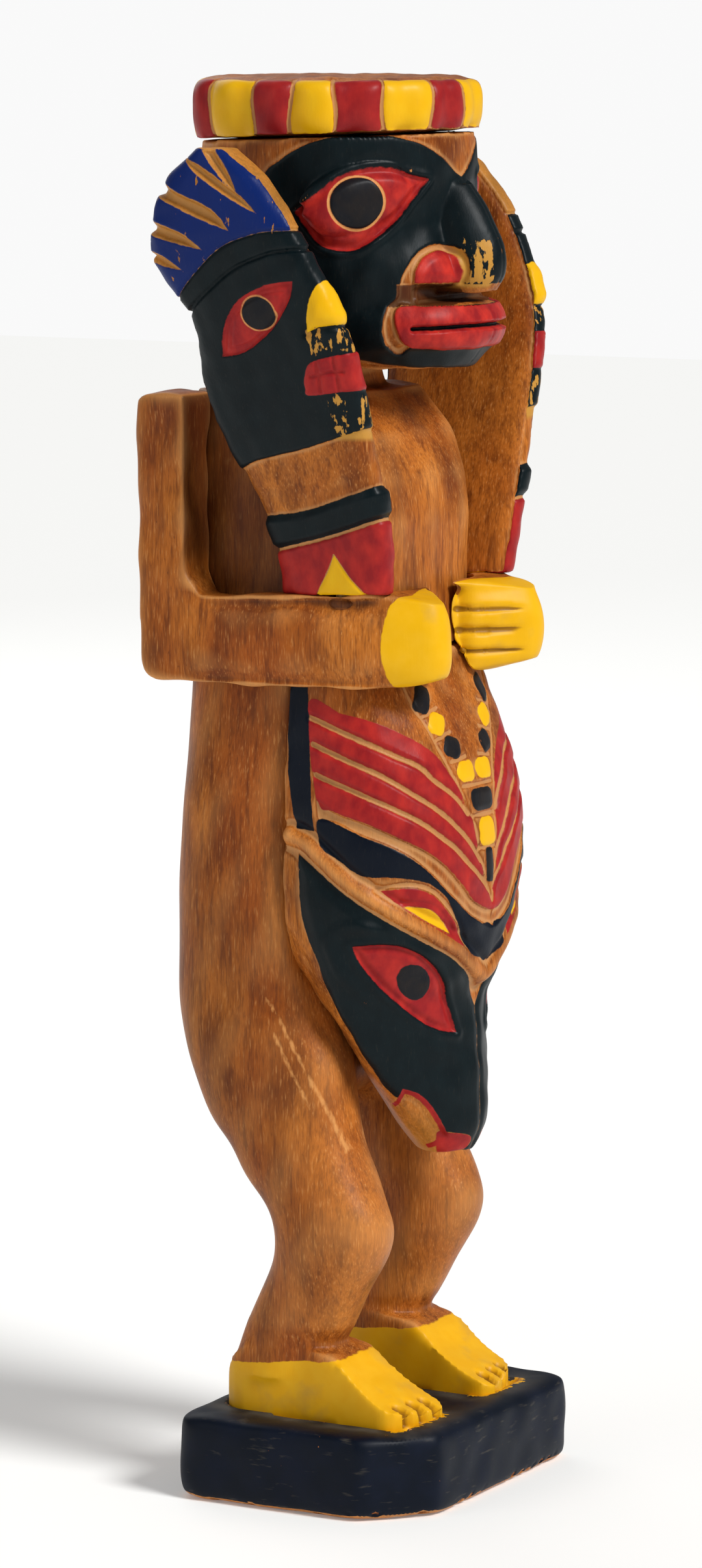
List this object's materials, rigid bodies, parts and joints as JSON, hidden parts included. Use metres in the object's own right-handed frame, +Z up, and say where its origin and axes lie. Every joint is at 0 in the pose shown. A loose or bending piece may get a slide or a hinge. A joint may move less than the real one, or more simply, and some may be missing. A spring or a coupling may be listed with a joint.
{
  "type": "carved wooden figure",
  "caption": "Standing painted wood figure on a plinth, with a hook-nosed head, ring crown, two face boards on folded arms and a feathered belly panel.",
  "frame": {"origin": "middle of the plinth's underside", "axes": "+Z up, the figure faces -Y, its own right side is at -X"},
  "size_m": [0.1224, 0.0828, 0.3541],
  "materials": {
    "plinth_paint": "worn blue-black paint on wood",
    "bare_wood": "varnished orange-brown wood, ochre paint on hands and feet",
    "painted_carving": "carved wood with black-green, red, yellow and blue paint",
    "dowel_wood": "plain wood",
    "steel": "plain steel screw"
  },
  "bodies": {
    "root": {"plinth": "plinth_paint", "body": "bare_wood", "belly_panel": "painted_carving", "head": "painted_carving", "crown": "painted_carving", "right_arm": "bare_wood", "left_arm": "bare_wood", "right_face_board": "painted_carving", "left_face_board": "painted_carving", "neck_dowel": "dowel_wood", "panel_dowel_upper": "dowel_wood", "panel_dowel_lower": "dowel_wood", "right_crown_dowel": "dowel_wood", "right_shoulder_dowel": "dowel_wood", "right_elbow_dowel": "dowel_wood", "right_hand_pin": "dowel_wood", "right_board_dowel": "dowel_wood", "right_board_peg": "dowel_wood", "right_foot_screw": "steel", "left_crown_dowel": "dowel_wood", "left_shoulder_dowel": "dowel_wood", "left_elbow_dowel": "dowel_wood", "left_hand_pin": "dowel_wood", "left_board_dowel": "dowel_wood", "left_board_peg": "dowel_wood", "left_foot_screw": "steel"}
  },
  "joints": []
}
